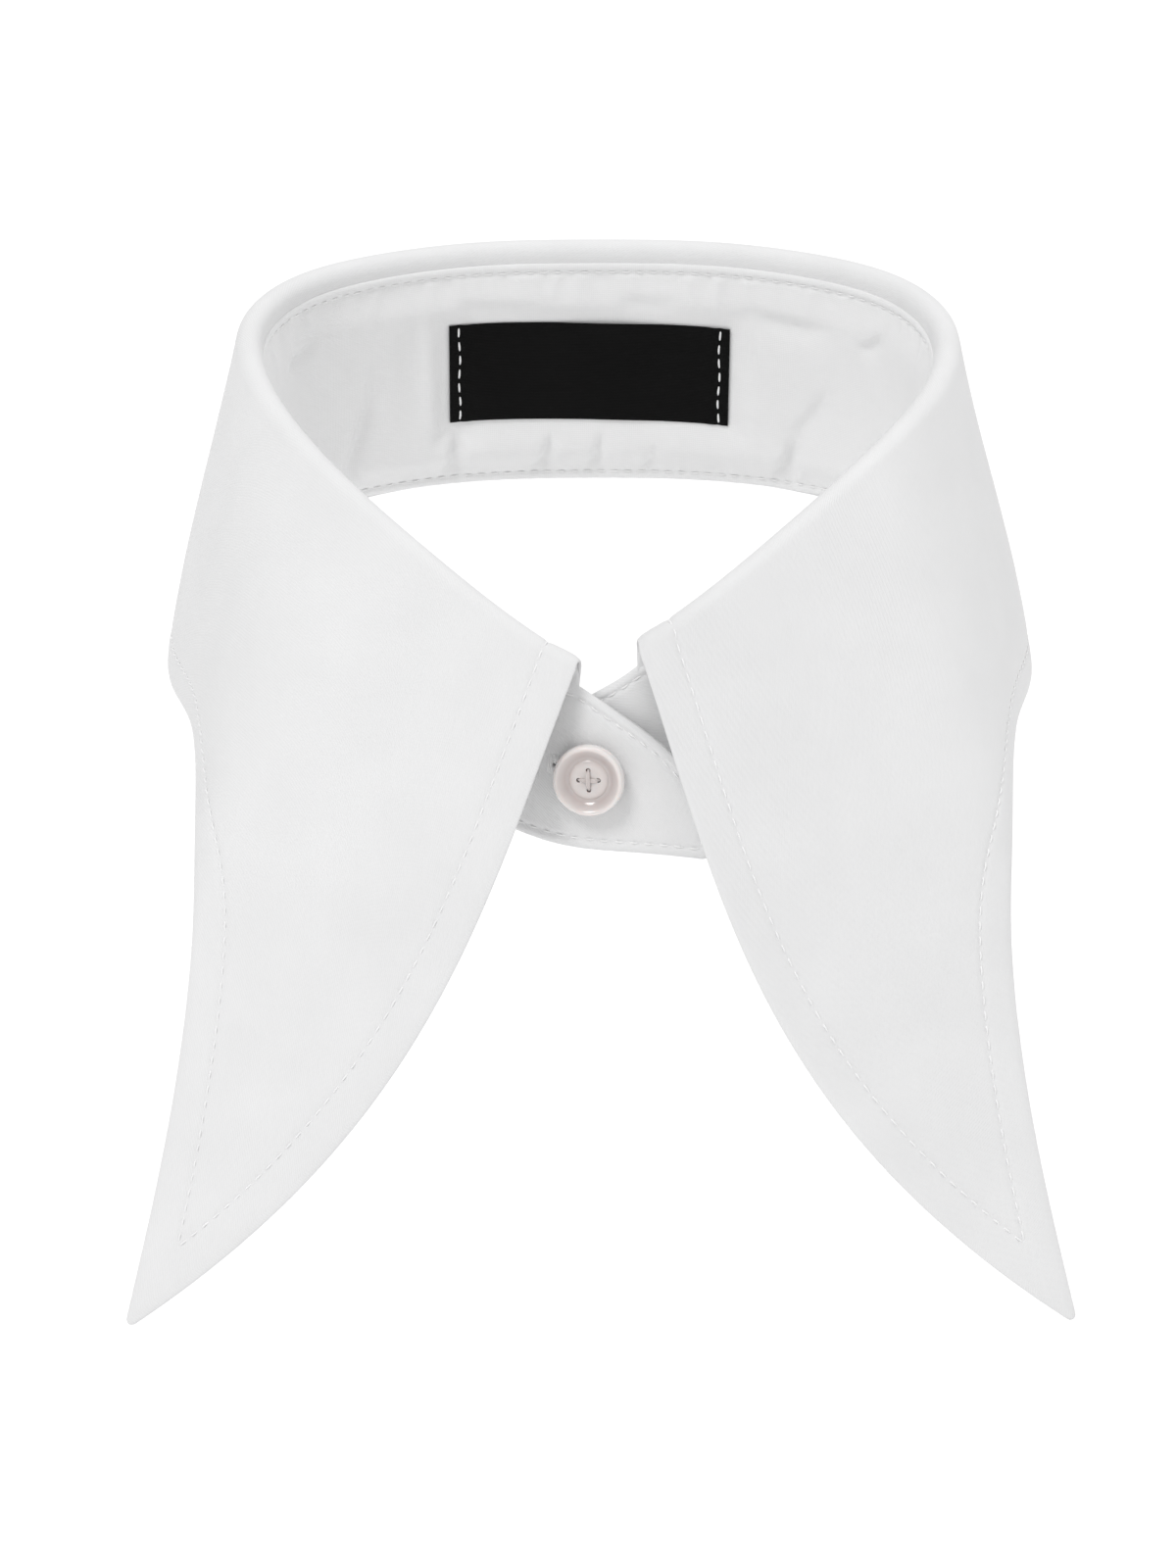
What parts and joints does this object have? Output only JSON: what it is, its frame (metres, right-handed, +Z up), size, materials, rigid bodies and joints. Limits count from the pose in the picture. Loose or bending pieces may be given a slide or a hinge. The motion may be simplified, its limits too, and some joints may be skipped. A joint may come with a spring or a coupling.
{
  "type": "detachable shirt collar",
  "caption": "Buttoned white shirt collar with a standing neckband, a rolled leaf falling outside it and long curved points.",
  "frame": {"origin": "middle of the neck hole, in the plane of the neckband's lower edge", "axes": "+Z up as worn, +Y from the buttoned front to the back of the neck, +X to the right of the view from the front"},
  "size_m": [0.1546, 0.1337, 0.1634],
  "materials": {
    "white_satin": "fine white cotton satin weave, matt with a soft sheen",
    "inner_poplin": "fine white plain weave, matt",
    "label_black": "woven black satin ribbon, bare",
    "button_plastic": "translucent pinkish beige resin, polished"
  },
  "bodies": {
    "root": {"stand_outer": "white_satin", "stand_inner": "inner_poplin", "collar_upper": "white_satin", "collar_under": "white_satin", "label": "label_black", "button": "button_plastic"}
  },
  "joints": []
}
